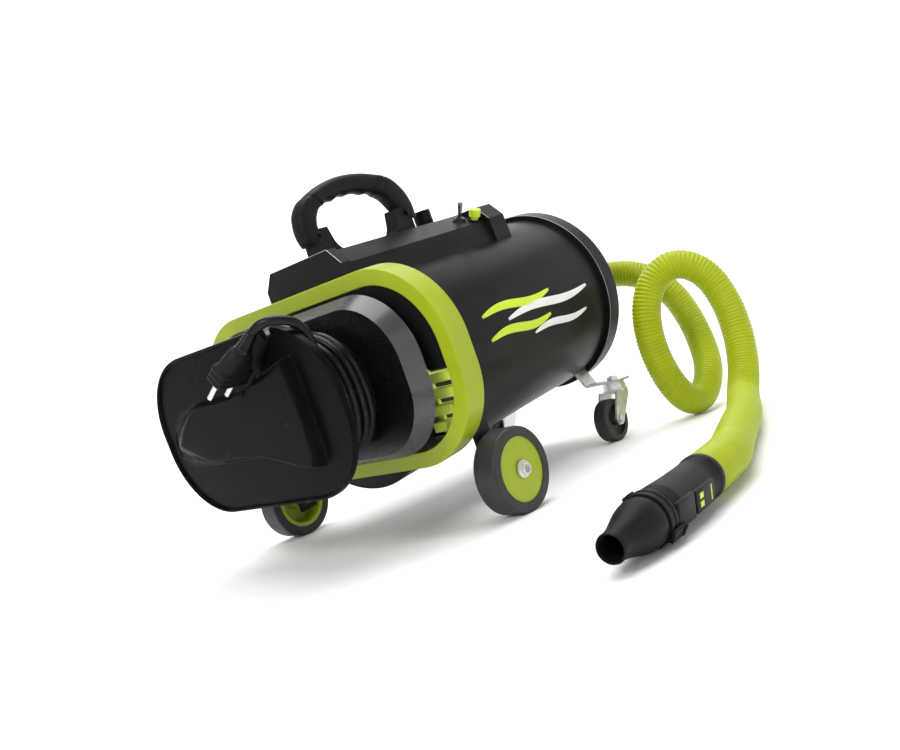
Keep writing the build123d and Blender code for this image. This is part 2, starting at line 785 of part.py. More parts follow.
def route_through(points, diameter, name):
    """Tube along straight runs joined by the largest tangent arcs that the runs allow."""
    points = [Vector(*point) for point in points]
    radii = []
    for before, corner, after in zip(points, points[1:], points[2:]):
        turn = (corner - before).get_angle(after - corner)
        shorter = min((corner - before).length, (after - corner).length)
        radii.append(0.45 * shorter / math.tan(math.radians(turn) / 2))
    print(name, "radii", [round(radius, 1) for radius in radii])
    with BuildPart() as tube:
        with BuildLine() as path:
            FilletPolyline(*points, radius=radii)
        with BuildSketch(Plane(origin=points[0], z_dir=points[1] - points[0])):
            Circle(diameter / 2)
        sweep()
    length = path.wire().length
    full = math.pi * diameter * diameter / 4 * length
    print(name, "length", round(length, 1), "volume ratio", round(tube.part.volume / full, 4))
    return tube.part


HOSE_ROUTE = [
    at(0, BARREL_END + CAP_LENGTH + 28, HOSE_Z),
    (0, 403, 196.4),
    (36, 432, 197),
    (78, 449, 188),
    (110, 462, 158),
    (126, 467, 118),
    (139, 459, 76),
    (152, 432, 42),
    (153, 398, 18),
    (149, 366, 18.5),
    (140, 346, 52),
    (134, 340, 100),
    (138, 343, 143),
    (152, 356, 175),
    (177, 372, 185),
    (203, 386, 164),
    (217, 389, 124),
    (224, 382, 86),
    (227, 368, 50),
    (230, 340, 22),
    (249, 296, 18),
    (281, 222, 18),
    (306, 150, 18.5),
    (330, 82, 18),
    (354, 24, 22),
    GRIP_REAR,
]

GLAND_EXIT = (6.0, -35.0, 212.5)
PLUG_CABLE_END = (77.4, -112.0, 231.3)
PLUG_AIM = along(-0.80, -0.18, -0.572)
PLUG_WIDE = along(-0.12, 0.98, -0.141)
TAIL_ROUTE = [
    (103.5, -80, 172),
    (105, -80.5, 190),
    (107, -82, 210),
    (107.5, -87, 226),
    (104, -94, 236),
    (96, -102, 239.5),
    (87, -109.5, 236.6),
    PLUG_CABLE_END,
]


def make_hose():
    """Ribbed stretch hose from the rear cuff, once round a standing loop, to the handset."""
    save(route_through(HOSE_ROUTE, HOSE_D, "hose"), "hose")


def make_mains_cord():
    """Cord gland on the drum, the wound turns, the free tail and the two-pin plug."""
    with BuildPart() as gland:
        with BuildSketch(above(DRUM_Z + DRUM_HALF_H)):
            with Locations((20, -34.6)):
                Rectangle(28, 13)
        extrude(amount=11)
        fillet(gland.edges().filter_by(Axis(at(0, 0, 0), RIGHT)).sort_by(Axis(at(0, 0, 0), UP))[-2:], 3)
        with BuildSketch(beside(GLAND_EXIT[0], GLAND_EXIT[1], GLAND_EXIT[2])):
            Circle(CORD_D / 2 + 0.1)
        extrude(amount=18, mode=Mode.SUBTRACT)
    save(gland.part, "cord_gland")

    turns_thickness = 11.0
    turns_back = -30.0
    turns_front = -84.0
    with BuildPart() as coil:
        with BuildSketch(across(turns_back, DRUM_Z)):
            rounded_ring(
                DRUM_HALF_W + 0.2 + turns_thickness, DRUM_HALF_H + 0.2 + turns_thickness,
                DRUM_CORNER + 0.2 + turns_thickness, turns_thickness,
            )
        extrude(amount=turns_back - turns_front)
        with BuildSketch(above(DRUM_Z + DRUM_HALF_H - 1)):
            with Locations((21, -34)):
                Rectangle(30.2, 15)
        extrude(amount=20, mode=Mode.SUBTRACT)
    save(coil.part, "mains_cord_coil")

    tail = [at(*point) for point in TAIL_ROUTE]
    save(route_through(tail, CORD_D, "mains_cord_tail"), "mains_cord_tail")

    plug = Plane(
        origin=at(*PLUG_CABLE_END),
        x_dir=PLUG_WIDE,
        z_dir=PLUG_AIM,
    )
    with BuildPart() as boot:
        with BuildSketch(plug):
            Circle(5.5)
        with BuildSketch(plug.offset(20)):
            Circle(7)
        loft()
    save(boot.part, "plug_boot")

    with BuildPart() as body:
        with BuildSketch(plug.offset(20)):
            RectangleRounded(20, 15, 6)
        with BuildSketch(plug.offset(38)):
            RectangleRounded(34, 17, 8)
        with BuildSketch(plug.offset(54)):
            RectangleRounded(35, 18, 8.5)
        loft(ruled=True)
    save(body.part, "plug_body")

    with BuildPart() as pins:
        with BuildSketch(plug.offset(54)):
            with GridLocations(19, 0, 2, 1):
                Circle(2.4)
        extrude(amount=19)
        fillet(pins.faces().sort_by(Axis(at(0, 0, 0), PLUG_AIM))[-2:].edges(), 1)
    save(pins.part, "plug_pins")


# ---- handset ----

def make_handset():
    """Grip on the hose end with its badge pad, lock ring, latch and pull-off nozzle."""
    rear = Vector(*GRIP_REAR)
    tip = Vector(*NOZZLE_TIP)
    length = (tip - rear).length
    aim = (tip - rear).normalized()
    hand = Plane(origin=rear, x_dir=Vector(-aim.Y, aim.X, 0).normalized(), z_dir=aim)
    ring_near = 88.0
    ring_far = 99.0

    with BuildPart() as grip:
        with BuildSketch(hand):
            Circle(18)
        extrude(amount=ring_near)
        with BuildSketch(hand):
            Circle(18.6)
        extrude(amount=8)
        fillet(grip.faces().sort_by(Axis(rear, aim))[0].edges(), 1.5)
        with BuildSketch(hand.offset(-1)):
            Circle(15)
        extrude(amount=ring_near + 2, mode=Mode.SUBTRACT)
    save(grip.part, "hand_grip")

    badge = Plane(
        origin=hand.from_local_coords((17.6, -3, 36)),
        x_dir=aim,
        z_dir=hand.x_dir * 0.985 + hand.y_dir * -0.17,
    )
    with BuildPart() as pad:
        with BuildSketch(badge):
            RectangleRounded(26, 15, 2.5)
        extrude(amount=1.6)
        with BuildSketch(hand):
            Circle(18)
        extrude(amount=80, mode=Mode.SUBTRACT)
    save(pad.part, "grip_badge")

    with BuildPart() as ring:
        with BuildSketch(hand.offset(ring_near)):
            Circle(19)
        extrude(amount=ring_far - ring_near)
        fillet(ring.edges().filter_by(GeomType.CIRCLE), 1)
        with BuildSketch(hand.offset(ring_near - 1)):
            Circle(15)
        extrude(amount=20, mode=Mode.SUBTRACT)
    save(ring.part, "lock_ring")

    with BuildPart() as nozzle:
        with BuildSketch(hand.offset(ring_far + 0.3)):
            Circle(18.4)
        with BuildSketch(hand.offset(ring_far + 34)):
            Circle(9.4)
        loft()
        with BuildSketch(hand.offset(ring_far + 34)):
            Circle(9.4)
        extrude(amount=length - ring_far - 34)
        with BuildSketch(hand.offset(ring_near - 10)):
            Circle(14.92)
        extrude(amount=ring_far - ring_near + 10.4)
        with BuildSketch(hand.offset(ring_near - 11)):
            Circle(13)
        with BuildSketch(hand.offset(ring_far + 34)):
            Circle(7.4)
        loft(mode=Mode.SUBTRACT)
        with BuildSketch(hand.offset(ring_far + 33)):
            Circle(7.4)
        extrude(amount=length, mode=Mode.SUBTRACT)
    save(nozzle.part, "nozzle")

    latch_angle = -35.0
    out = hand.x_dir * math.cos(math.radians(latch_angle)) + hand.y_dir * math.sin(math.radians(latch_angle))
    latch = Plane(origin=rear + aim * (ring_near + 2) + out * 19.2, x_dir=aim, z_dir=out)
    with BuildPart() as clip:
        with BuildSketch(latch):
            RectangleRounded(20, 9, 1.5)
        extrude(amount=2.4)
        with BuildSketch(latch.offset(2.4)):
            with Locations((-7, 0)):
                Rectangle(3, 7)
        extrude(amount=1)
    save(clip.part, "nozzle_latch")


make_barrel()
make_collar()
make_cord_store()
make_console()
make_handle()
make_controls()
make_blower()
make_front_wheels()
make_casters()
make_hose()
make_mains_cord()
make_handset()
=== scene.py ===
"""Looks of the barrel dryer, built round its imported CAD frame. Metres, in the part's own frame."""
import json
import math

import bmesh
import bpy
from mathutils import Matrix, Vector


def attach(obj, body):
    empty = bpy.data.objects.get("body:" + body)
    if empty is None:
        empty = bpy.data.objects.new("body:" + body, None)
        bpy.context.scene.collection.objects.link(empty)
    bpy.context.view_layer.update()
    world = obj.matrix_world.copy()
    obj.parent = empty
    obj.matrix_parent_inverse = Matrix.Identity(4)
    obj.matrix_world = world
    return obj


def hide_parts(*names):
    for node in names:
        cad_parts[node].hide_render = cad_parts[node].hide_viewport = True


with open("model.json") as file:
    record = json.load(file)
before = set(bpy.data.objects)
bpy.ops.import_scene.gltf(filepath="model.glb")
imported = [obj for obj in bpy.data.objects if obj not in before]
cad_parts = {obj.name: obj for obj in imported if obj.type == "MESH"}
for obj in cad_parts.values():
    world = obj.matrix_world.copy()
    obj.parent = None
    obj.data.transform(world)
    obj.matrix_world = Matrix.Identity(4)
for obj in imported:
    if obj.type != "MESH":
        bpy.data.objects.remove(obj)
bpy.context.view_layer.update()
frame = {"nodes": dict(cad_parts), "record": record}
NODES = frame["nodes"]

MM = 0.001
LEAN = math.radians(6.0)
AXLE = Vector((0.0, 38.0, 39.0))
BARREL_Z = 150.0
BARREL_R = 106.0
HOSE_Z = 153.5
DRUM_Z = 157.0
DRUM_CORNER_X = 53.0
DRUM_CORNER_Z = 5.0
CORD_D = 8.5
HOSE_D = 35.0
GRIP_REAR = Vector((357.0, -29.0, 21.0))
NOZZLE_TIP = Vector((366.0, -176.0, 18.5))


def along(x, y, z):
    """Frame direction of a direction in the leaning body frame."""
    return Vector((x, y * math.cos(LEAN) - z * math.sin(LEAN), y * math.sin(LEAN) + z * math.cos(LEAN)))


def at(x, y, z):
    """Frame point, in metres, of a body-frame point in millimetres."""
    return (Vector((0, 0, AXLE.z)) + along(x, y - AXLE.y, z - AXLE.z)) * MM


# ---- camera ----

camera_data = bpy.data.cameras.new("camera")
camera_data.lens = 36.12
camera_data.sensor_width = 36.0
camera_data.clip_start = 0.02
camera_data.clip_end = 30.0
camera = bpy.data.objects.new("camera", camera_data)
bpy.context.scene.collection.objects.link(camera)
bpy.context.scene.camera = camera
CAMERA_AT = Vector((0.6784, -0.6139, 0.1616))
look = Vector((-0.6729, 0.7391, -0.0320)).normalized()
right = Vector((0.7180, 0.6420, -0.2689))
right = (right - look * right.dot(look)).normalized()
up = right.cross(look)
camera.matrix_world = Matrix.Translation(CAMERA_AT) @ Matrix((right, up, -look)).transposed().to_4x4()


# ---- materials ----

def surface(name, color, roughness, metallic=0.0, mottle=0.08, mottle_scale=35.0, grain=900.0,
            grain_height=0.00003, rough_swing=0.03, coat=0.0, specular=0.5, stretch=(1, 1, 1),
            sheen=0.0):
    """Procedural finish: colour and gloss drift over the surface, and a fine grain lifts it."""
    m = bpy.data.materials.new(name)
    m.use_nodes = True
    m.diffuse_color = (*color, 1)
    tree = m.node_tree
    n, link = tree.nodes, tree.links
    shader = n["Principled BSDF"]
    shader.inputs["Metallic"].default_value = metallic
    shader.inputs["Coat Weight"].default_value = coat
    shader.inputs["Coat Roughness"].default_value = 0.12
    shader.inputs["Specular IOR Level"].default_value = specular
    shader.inputs["Sheen Weight"].default_value = sheen
    where = n.new("ShaderNodeTexCoord")
    turn = n.new("ShaderNodeMapping")
    turn.inputs["Scale"].default_value = stretch
    link.new(where.outputs["Object"], turn.inputs["Vector"])
    drift = n.new("ShaderNodeTexNoise")
    drift.inputs["Scale"].default_value = mottle_scale
    drift.inputs["Detail"].default_value = 5.0
    link.new(turn.outputs["Vector"], drift.inputs["Vector"])
    shade = n.new("ShaderNodeValToRGB")
    shade.color_ramp.elements[0].position = 0.3
    shade.color_ramp.elements[1].position = 0.7
    shade.color_ramp.elements[0].color = (*[c * (1 - mottle) for c in color], 1)
    shade.color_ramp.elements[1].color = (*[min(1, c * (1 + mottle)) for c in color], 1)
    link.new(drift.outputs["Fac"], shade.inputs["Fac"])
    link.new(shade.outputs["Color"], shader.inputs["Base Color"])
    gloss = n.new("ShaderNodeMapRange")
    gloss.inputs["From Min"].default_value = 0.3
    gloss.inputs["From Max"].default_value = 0.7
    gloss.inputs["To Min"].default_value = max(0.03, roughness - rough_swing)
    gloss.inputs["To Max"].default_value = roughness + rough_swing
    link.new(drift.outputs["Fac"], gloss.inputs["Value"])
    link.new(gloss.outputs["Result"], shader.inputs["Roughness"])
    fine = n.new("ShaderNodeTexNoise")
    fine.inputs["Scale"].default_value = grain
    fine.inputs["Detail"].default_value = 2.0
    link.new(turn.outputs["Vector"], fine.inputs["Vector"])
    bump = n.new("ShaderNodeBump")
    bump.inputs["Strength"].default_value = 0.6
    bump.inputs["Distance"].default_value = grain_height
    link.new(fine.outputs["Fac"], bump.inputs["Height"])
    link.new(bump.outputs["Normal"], shader.inputs["Normal"])
    return m


LIME = (0.33, 0.405, 0.012)
M = {
    "black_coat": surface("black_powder_coat", (0.0085, 0.0080, 0.0088), 0.34, grain=1400, specular=0.12),
    "lime_coat": surface("lime_powder_coat", LIME, 0.36, mottle=0.04, grain=1400, specular=0.35),
    "lime_plastic": surface("lime_moulding", LIME, 0.45, mottle=0.05, grain=1800),
    "grey_coat": surface("grey_satin_coat", (0.040, 0.040, 0.044), 0.27, mottle=0.06, grain=1500,
                         specular=0.6),
    "black_plastic": surface("black_moulding", (0.0075, 0.0073, 0.0075), 0.44, grain=2200,
                             grain_height=0.00005, specular=0.11),
    "gloss_black": surface("black_cover_moulding", (0.0030, 0.0027, 0.0034), 0.30, mottle=0.05, grain=1200,
                           grain_height=0.00001, specular=0.05),
    "lime_gloss": surface("lime_button_moulding", (0.50, 0.66, 0.01), 0.25, mottle=0.04, coat=0.3),
    "chrome": surface("polished_plate", (0.78, 0.78, 0.80), 0.12, metallic=1, mottle=0.04, rough_swing=0.04),
    "zinc": surface("bright_zinc_plate", (0.74, 0.75, 0.78), 0.42, metallic=0.9, mottle=0.10, mottle_scale=90,
                    rough_swing=0.1),
    "steel": surface("turned_steel", (0.50, 0.50, 0.52), 0.32, metallic=1, mottle=0.08, mottle_scale=60,
                     stretch=(1, 6, 1)),
    "tyre": surface("tyre_rubber", (0.028, 0.028, 0.029), 0.45, mottle=0.08, grain=1600,
                    grain_height=0.00006, specular=0.3),
    "cord_rubber": surface("cable_sheath", (0.005, 0.005, 0.0055), 0.26, mottle=0.06, grain=1500,
                           grain_height=0.00001, specular=0.20),
    "hose_vinyl": surface("hose_vinyl", (0.34, 0.405, 0.002), 0.38, mottle=0.05, grain=1300, specular=0.25),
    "foam": surface("filter_foam", (0.02, 0.02, 0.02), 0.95, mottle=0.3, mottle_scale=500, grain=1200,
                    grain_height=0.0006, sheen=0.2),
    "aluminium": surface("die_cast_alloy", (0.66, 0.67, 0.69), 0.34, metallic=1, mottle=0.06),
}
M["white_print"] = surface("white_print", (0.80, 0.80, 0.80), 0.40, mottle=0.03)
M["lime_print"] = surface("lime_print", (0.56, 0.74, 0.01), 0.40, mottle=0.03)
M["dark_chrome"] = surface("dark_chrome", (0.16, 0.16, 0.17), 0.22, metallic=1, mottle=0.05)
M["bright_bars"] = surface("lime_bar_moulding", (0.62, 0.74, 0.10), 0.40, mottle=0.04)
M["flange_coat"] = surface("flange_coat", (0.048, 0.048, 0.052), 0.27, mottle=0.04, grain=1500, specular=0.6)
# painted highlight: a light grey, half-metal finish for fine lines that stand in for the light caught along
# the rear cap's rim and the console panels' edges
M["bright_edge"] = surface("worn_bright_edge", (0.42, 0.42, 0.43), 0.35, metallic=0.6, mottle=0.2)


def blacken_front(material, color):
    """The faces that look forward are painted another colour."""
    tree = material.node_tree
    shader = tree.nodes["Principled BSDF"]
    painted = shader.inputs["Base Color"].links[0].from_socket
    facing = tree.nodes.new("ShaderNodeTexCoord")
    split = tree.nodes.new("ShaderNodeSeparateXYZ")
    tree.links.new(facing.outputs["Normal"], split.inputs["Vector"])
    share = tree.nodes.new("ShaderNodeMapRange")
    share.inputs["From Min"].default_value = -0.96
    share.inputs["From Max"].default_value = -0.92
    tree.links.new(split.outputs["Y"], share.inputs["Value"])
    blend = tree.nodes.new("ShaderNodeMix")
    blend.data_type = "RGBA"
    blend.inputs["A"].default_value = (*color, 1)
    tree.links.new(share.outputs["Result"], blend.inputs["Factor"])
    tree.links.new(painted, blend.inputs["B"])
    tree.links.new(blend.outputs["Result"], shader.inputs["Base Color"])


blacken_front(M["flange_coat"], (0.004, 0.004, 0.005))
FINISH = {
    "handle_screws": "black_plastic",
    "toggle_nut": "dark_chrome",
    "toggle_body": "dark_chrome",
    "intake_grilles": "bright_bars",
    "winding_flange": "flange_coat",
}
SLOT = {row["node"]: row["material_slot"] for row in frame["record"]["subparts"]}
for node, obj in NODES.items():
    obj.data.materials.clear()
    obj.data.materials.append(M[FINISH.get(node, SLOT[node])])


# ---- building pieces ----


def add(name, mesh, body, material):
    """A new smooth-shaded piece that rides on a body."""
    obj = bpy.data.objects.new(name, mesh)
    bpy.context.scene.collection.objects.link(obj)
    mesh.materials.append(material)
    mesh.shade_smooth()
    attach(obj, body)
    return obj


def skin(rings, closed_ends=True, loop=False):
    """A mesh over rings of points, all of the same count."""
    bm = bmesh.new()
    rows = [[bm.verts.new(p) for p in ring] for ring in rings]
    count = len(rings[0])
    pairs = list(zip(rows, rows[1:]))
    if loop:
        pairs.append((rows[-1], rows[0]))
    for a, b in pairs:
        for i in range(count):
            j = (i + 1) % count
            bm.faces.new((a[i], a[j], b[j], b[i]))
    if closed_ends and not loop:
        bm.faces.new(list(reversed(rows[0])))
        bm.faces.new(rows[-1])
    bmesh.ops.recalc_face_normals(bm, faces=bm.faces)
    mesh = bpy.data.meshes.new("piece")
    bm.to_mesh(mesh)
    bm.free()
    return mesh


def route(name, points, steps, depth=0.0):
    """One open smooth spline with these points as its control points."""
    data = bpy.data.curves.new(name, "CURVE")
    data.dimensions = "3D"
    data.resolution_u = steps
    spline = data.splines.new("NURBS")
    spline.points.add(len(points) - 1)
    for target, p in zip(spline.points, points):
        target.co = (*p, 1.0)
    spline.order_u = 3
    spline.use_endpoint_u = True
    data.bevel_depth = depth
    data.bevel_resolution = 5
    data.use_fill_caps = depth > 0
    return data


def read_line(data):
    """The points of a route's spline."""
    carrier = bpy.data.objects.new("route_line", data)
    mesh = bpy.data.meshes.new_from_object(carrier)
    points = [v.co.copy() for v in mesh.vertices]
    bpy.data.meshes.remove(mesh)
    bpy.data.objects.remove(carrier)
    return points


def even(points, step):
    """The same line with points step apart, and its length."""
    marks = [0.0]
    for a, b in zip(points, points[1:]):
        marks.append(marks[-1] + (b - a).length)
    count = max(2, round(marks[-1] / step))
    out, k = [], 0
    for i in range(count + 1):
        s = marks[-1] * i / count
        while k < len(points) - 2 and marks[k + 1] < s:
            k += 1
        t = (s - marks[k]) / (marks[k + 1] - marks[k])
        out.append(points[k].lerp(points[k + 1], t))
    return out, marks[-1]


def tube(line, radius, sides):
    """Rings round a line. radius(i, turn) gives the radius at ring i and angle turn."""
    rings = []
    heading = (line[1] - line[0]).normalized()
    side = heading.orthogonal().normalized()
    for i, p in enumerate(line):
        ahead = line[min(i + 1, len(line) - 1)] - line[max(i - 1, 0)]
        turn = heading.rotation_difference(ahead.normalized())
        side = (turn @ side).normalized()
        heading = ahead.normalized()
        side = (side - heading * side.dot(heading)).normalized()
        other = heading.cross(side)
        ring = []
        for k in range(sides):
            a = 2 * math.pi * k / sides
            r = radius(i, a)
            ring.append(p + side * (r * math.cos(a)) + other * (r * math.sin(a)))
        rings.append(ring)
    return rings


# ---- hose ----

HOSE_ROUTE = [at(0, 418, HOSE_Z)] + [Vector(p) * MM for p in (
    (0, 403, 196.4), (36, 432, 197), (78, 449, 188), (110, 462, 158), (126, 467, 118), (139, 459, 76),
    (152, 432, 42), (153, 398, 18), (149, 366, 18.5), (140, 346, 52), (134, 340, 100), (138, 343, 143),
    (152, 356, 175), (177, 372, 185), (203, 386, 164), (217, 389, 124), (224, 382, 86), (227, 368, 50),
    (230, 340, 22), (249, 296, 18), (281, 222, 18), (306, 150, 18.5), (330, 82, 18), (354, 24, 22),
    (357, -29, 21),
)]
RIB_PITCH = 0.0042
RINGS_PER_RIB = 6
hose_line, hose_length = even(read_line(route("hose_route", HOSE_ROUTE, 16)), RIB_PITCH / RINGS_PER_RIB)


def hose_radius(i, a):
    """Helical rib: a rounded crest with a narrow valley."""
    wave = 0.5 + 0.5 * math.cos(2 * math.pi * i / RINGS_PER_RIB - a)
    return (HOSE_D / 2 - 1.0 * (1 - wave) ** 1.8) * MM


hose = add("ribbed_hose", skin(tube(hose_line, hose_radius, 30)), "dryer", M["hose_vinyl"])
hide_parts("hose")


# ---- mains cord ----

DRUM_RADIUS = 49.9
WINDING_Y = -35.6
WINDING_END_Y = -80.5
TURN_PITCH = 8.7
TURN_SLACK = (0.6, 1.6, 0.4, 1.2, 0.5, 2.4)
TURN_POINTS = 16
LAST_TURN_POINTS = 8
CORD_STEPS = 6


def winding():
    """Control points of the cord: out of the gland, round the drum, then up to the plug."""
    points = [(6, -35, 212.5), (-8, -35.3, 212.4), (-22, -35.6, 212.2)]
    for k, slack in enumerate(TURN_SLACK):
        # the turns lie side by side; the last is half a turn, held back from the cover
        back = WINDING_Y - TURN_PITCH * k
        front = back - TURN_PITCH
        radius = DRUM_RADIUS + slack
        reach = radius / math.cos(math.radians(15))
        corners = []
        for cx, cz, start in ((-1, 1, 90), (-1, -1, 180), (1, -1, 270), (1, 1, 360)):
            for step in (15, 45, 75):
                a = math.radians(start + step)
                corners.append((cx * DRUM_CORNER_X + reach * math.cos(a),
                                DRUM_Z + cz * DRUM_CORNER_Z + reach * math.sin(a)))
        low = DRUM_Z - DRUM_CORNER_Z - radius
        high = DRUM_Z + DRUM_CORNER_Z + radius
        loop = corners[:6] + [(-20, low), (20, low)] + corners[6:] + [(20, high), (-20, high)]
        last = LAST_TURN_POINTS if k == len(TURN_SLACK) - 1 else TURN_POINTS
        for i, (x, z) in enumerate(loop[:last]):
            wander = 0.7 * math.sin(2.1 * i + 1.7 * k) if 0 < i < TURN_POINTS - 1 else 0.0
            y = back + (front - back) * (i + 0.5) / TURN_POINTS + wander
            points.append((x, max(WINDING_END_Y, y), z))
    # off the drum, over the cover's edge and down to the plug
    points += [(104.2, -80, 168), (105, -80.5, 188), (106.8, -82, 208), (107.5, -86, 222),
               (104.5, -92.5, 230), (98, -100, 234), (88, -109.5, 236.2), (77.4, -112, 231.3)]
    return [at(*p) for p in points]


CORD_ROUTE = winding()
cord_data = route("mains_cord", CORD_ROUTE, CORD_STEPS, CORD_D / 2 * MM)
cord_line = read_line(route("mains_cord_line", CORD_ROUTE, CORD_STEPS))
cord = bpy.data.objects.new("mains_cord", cord_data)
bpy.context.scene.collection.objects.link(cord)
cord_data.materials.append(M["cord_rubber"])
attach(cord, "dryer")
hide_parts("mains_cord_coil", "mains_cord_tail")

# plug: ribbed relief, waisted body
PLUG_AT = at(77.4, -112.0, 231.3)
plug_aim = along(-0.80, -0.18, -0.572).normalized()
plug_wide = along(-0.12, 0.98, -0.141)
plug_wide = (plug_wide - plug_aim * plug_wide.dot(plug_aim)).normalized()
plug_thick = plug_aim.cross(plug_wide)


def plug_ring(distance, half_w, half_t, power=3.0, sides=36):
    """A rounded section of the plug, half_w by half_t, that far along it."""
    ring = []
    for k in range(sides):
        a = 2 * math.pi * k / sides
        c, s = math.cos(a), math.sin(a)
        x = half_w * math.copysign(abs(c) ** (2 / power), c)
        y = half_t * math.copysign(abs(s) ** (2 / power), s)
        ring.append(PLUG_AT + (plug_aim * distance + plug_wide * x + plug_thick * y) * MM)
    return ring


def relief_radius(i):
    """Radius of the tapered relief at half-millimetre step i, with grooves across it."""
    groove = 0.9 if i % 5 in (2, 3) and i < 34 else 0
    return 4.75 + 2.6 * (i / 40) ** 1.3 - groove


relief_piece = add("plug_relief", skin([plug_ring(0.5 * i, relief_radius(i), relief_radius(i), 2.0)
                                        for i in range(41)]), "dryer", M["cord_rubber"])
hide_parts("plug_boot")
# distance, half width, half thickness and squareness of each section
PLUG_SHAPE = ((19.5, 7.6, 7.4, 2.2), (20.5, 8.8, 8.0, 2.3), (23, 10.4, 8.6, 2.4), (28, 12.6, 8.9, 2.6),
              (33, 14.0, 9.0, 3.0), (37, 14.6, 8.6, 3.4), (38.2, 15.0, 8.3, 4.0), (39, 16.9, 8.8, 5.0),
              (39.8, 17.4, 9.0, 6.0), (43.4, 17.4, 9.0, 6.0), (43.9, 17.0, 8.5, 6.0), (45.1, 17.0, 8.5, 6.0),
              (45.6, 17.4, 9.0, 6.0), (48.4, 17.4, 9.0, 6.0), (48.9, 17.0, 8.5, 6.0), (50.1, 17.0, 8.5, 6.0),
              (50.6, 17.4, 9.0, 6.0), (52.8, 17.4, 9.0, 6.0), (53.7, 17.0, 8.7, 6.0), (54, 16.2, 8.0, 5.0),
              (54, 10, 5, 3.5))
plug_piece = add("plug_moulding", skin([plug_ring(*row) for row in PLUG_SHAPE]), "dryer", M["black_plastic"])
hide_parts("plug_body")


# ---- carry handle ----

HANDLE = (  # outer y, z and inner y, z in the middle plane
    (43.5, 293, 62, 293.2), (40.5, 300, 61.5, 301), (39.5, 310, 61.5, 309), (41.5, 321, 63.5, 315.5),
    (45, 328.5, 67, 321), (54, 337.5, 72, 326), (67, 343.5, 78.5, 328.4), (81, 349, 86, 329.6),
    (95, 352.4, 97, 331.4), (106, 354.2, 106.5, 332.8), (116, 355, 116, 333.4), (130, 355, 129, 332.8),
    (146, 353.6, 141, 331.2), (161, 350.8, 152, 329), (175, 346.4, 161.5, 326.2), (185.5, 341.4, 168, 322.6),
    (193.5, 334.5, 173, 317.5), (201.5, 323.5, 177, 311.5), (205.6, 311, 181.5, 306), (206, 302, 185.5, 300),
    (205, 293, 187.5, 293.2),
)


def between(rows, t):
    """Catmull-Rom value of a table of rows at t from 0 to 1."""
    x = t * (len(rows) - 1)
    i = min(int(x), len(rows) - 2)
    f = x - i
    picked = [rows[min(max(i + k, 0), len(rows) - 1)] for k in (-1, 0, 1, 2)]
    return [
        0.5 * (2 * b + (c - a) * f + (2 * a - 5 * b + 4 * c - d) * f * f + (3 * b - a - 3 * c + d) * f ** 3)
        for a, b, c, d in zip(*picked)
    ]


HANDLE_STATIONS = 150
handle_rings = []
for i in range(HANDLE_STATIONS + 1):
    t = i / HANDLE_STATIONS
    oy, oz, iy, iz = between(HANDLE, t)
    outer, inner = Vector((0, oy, oz)), Vector((0, iy, iz))
    middle, half = (outer + inner) / 2, (outer - inner) / 2
    grip_share = min(1, max(0, (t - 0.30) / 0.04)) * min(1, max(0, (0.70 - t) / 0.04))
    scallop = grip_share * 1.5 * abs(math.sin(math.pi * (t - 0.30) / 0.10))
    seam = 0.93 if any(abs(t - s) < 0.005 for s in (0.285, 0.715)) else 1.0
    half_w = 10.4 - 0.8 * grip_share
    power = 3.6 - 1.2 * grip_share
    ring = []
    for k in range(32):
        a = 2 * math.pi * k / 32
        c, s = math.cos(a), math.sin(a)
        x = half_w * seam * math.copysign(abs(c) ** (2 / power), c)
        h = seam * math.copysign(abs(s) ** (2 / power), s)
        if h < 0:
            h *= 1 - scallop / half.length
        p = middle + half * h
        ring.append(at(x, p.y, p.z))
    handle_rings.append(ring)
handle = add("carry_handle", skin(handle_rings), "dryer", M["black_plastic"])
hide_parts("handle_grip")


# ---- printed strokes on the barrel ----

PRINT_LIFT = 0.15
PRINT_STEPS = 14


def print_patch(name, outline, paint):
    """Thin printed shape on the barrel: rows of (y, low angle, high angle)."""
    bm = bmesh.new()
    rows = []
    for y, low, high in outline:
        row = []
        for k in range(PRINT_STEPS + 1):
            a = math.radians(low + (high - low) * k / PRINT_STEPS)
            r = BARREL_R + PRINT_LIFT
            row.append(bm.verts.new(at(r * math.cos(a), y, BARREL_Z + r * math.sin(a))))
        rows.append(row)
    for a, b in zip(rows, rows[1:]):
        for k in range(PRINT_STEPS):
            bm.faces.new((a[k], a[k + 1], b[k + 1], b[k]))
    mesh = bpy.data.meshes.new(name)
    bm.to_mesh(mesh)
    bm.free()
    obj = add(name, mesh, "dryer", M[paint])
    solid = obj.modifiers.new("thickness", "SOLIDIFY")
    solid.thickness = 0.0001
    solid.offset = 1.0


def stroke(start, end, middle, height, wave):
    """A tapering air-stream stroke from y start to y end at that angle round the barrel."""
    rows = []
    count = 28
    for i in range(count + 1):
        t = i / count
        half = height / 2 * math.sin(math.pi * (0.04 + 0.92 * t)) ** 0.6
        centre = middle + wave * math.sin(2 * math.pi * t)
        rows.append((start + (end - start) * t, centre - half, centre + half))
    return rows


for k, (start, end, middle, height, wave, paint) in enumerate((
    (138, 262, 10.5, 5.2, 1.8, "lime_print"),
    (176, 334, 3.8, 5.2, 1.8, "white_print"),
    (138, 250, -3.2, 5.2, 1.8, "lime_print"),
    (214, 322, -9.8, 4.4, 1.5, "white_print"),
)):
    print_patch(f"air_stroke_{k + 1}", stroke(start, end, middle, height, wave), paint)


# ---- front cover ----

